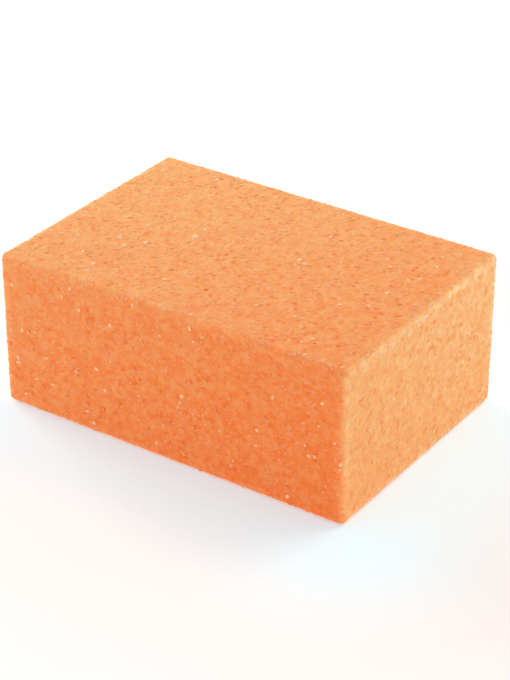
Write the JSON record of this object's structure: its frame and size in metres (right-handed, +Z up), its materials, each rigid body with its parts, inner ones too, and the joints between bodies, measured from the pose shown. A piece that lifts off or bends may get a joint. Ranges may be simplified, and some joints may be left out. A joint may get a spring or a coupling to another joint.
{
  "type": "nail buffer block",
  "caption": "Small hand-held nail buffer: a rounded rectangular foam block with a fine abrasive grit coat on every face.",
  "frame": {"origin": "centre of the face that the block rests on", "axes": "+X along the block's long side, +Y along its short side, +Z up, through its thickness"},
  "size_m": [0.06, 0.0414, 0.025],
  "materials": {
    "foam": "matte",
    "grit": "matte",
    "adhesive": "satin"
  },
  "bodies": {
    "root": {"foam_core": "foam", "top_grit_coat": "grit", "bottom_grit_coat": "grit", "front_grit_coat": "grit", "back_grit_coat": "grit", "right_end_grit_coat": "grit", "left_end_grit_coat": "grit", "top_adhesive_layer": "adhesive", "bottom_adhesive_layer": "adhesive", "front_adhesive_layer": "adhesive", "back_adhesive_layer": "adhesive", "right_end_adhesive_layer": "adhesive", "left_end_adhesive_layer": "adhesive"}
  },
  "joints": []
}
